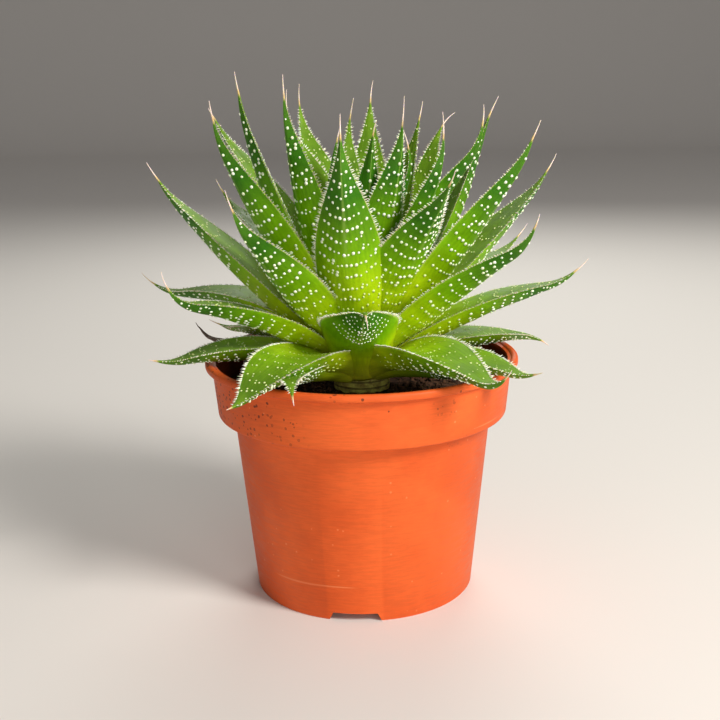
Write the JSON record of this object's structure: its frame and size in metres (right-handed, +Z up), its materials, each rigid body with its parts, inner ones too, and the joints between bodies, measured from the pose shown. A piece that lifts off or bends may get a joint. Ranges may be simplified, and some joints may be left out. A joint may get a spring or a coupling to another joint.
{
  "type": "potted aloe",
  "caption": "Lace aloe rosette of upright and spreading toothed, white-spotted leaves with bristle tips, growing in dark potting mix in a round terracotta-orange plastic nursery pot.",
  "frame": {"origin": "on the pot's axis, on the surface that the pot stands on", "axes": "+Z up out of the soil; -Y towards the front, which is the side that the picture shows; +X to the right in that view"},
  "size_m": [0.174, 0.1461, 0.1983],
  "materials": {
    "pot": "satin",
    "soil": "matte",
    "bark": "matte",
    "stem": "matte",
    "leaf": "satin",
    "dry_leaf": "matte"
  },
  "bodies": {
    "root": {"pot": "pot", "soil": "soil", "bark_chip_1": "bark", "bark_chip_2": "bark", "bark_chip_3": "bark", "bark_chip_4": "bark", "bark_chip_5": "bark", "stem": "stem", "leaf_heart_1": "leaf", "leaf_heart_2": "leaf", "leaf_heart_3": "leaf", "leaf_heart_4": "leaf", "leaf_heart_5": "leaf", "leaf_heart_6": "leaf", "leaf_heart_7": "leaf", "leaf_heart_8": "leaf", "leaf_heart_9": "leaf", "leaf_inner_1": "leaf", "leaf_inner_2": "leaf", "leaf_inner_3": "leaf", "leaf_inner_4": "leaf", "leaf_inner_5": "leaf", "leaf_inner_6": "leaf", "leaf_inner_7": "leaf", "leaf_inner_8": "leaf", "leaf_inner_9": "leaf", "leaf_low_1": "leaf", "leaf_low_2": "leaf", "leaf_low_3": "leaf", "leaf_low_4": "leaf", "leaf_low_5": "leaf", "leaf_low_6": "leaf", "leaf_low_7": "leaf", "leaf_low_8": "leaf", "leaf_low_9": "leaf", "leaf_middle_1": "leaf", "leaf_middle_2": "leaf", "leaf_middle_3": "leaf", "leaf_middle_4": "leaf", "leaf_middle_5": "leaf", "leaf_middle_6": "leaf", "leaf_middle_7": "leaf", "leaf_middle_8": "leaf", "leaf_middle_9": "leaf", "leaf_outer_1": "leaf", "leaf_outer_2": "leaf", "leaf_outer_3": "leaf", "leaf_outer_4": "leaf", "leaf_outer_5": "leaf", "leaf_outer_6": "leaf", "leaf_outer_7": "leaf", "leaf_outer_8": "leaf", "dry_leaf_1": "dry_leaf", "dry_leaf_2": "dry_leaf"}
  },
  "joints": []
}
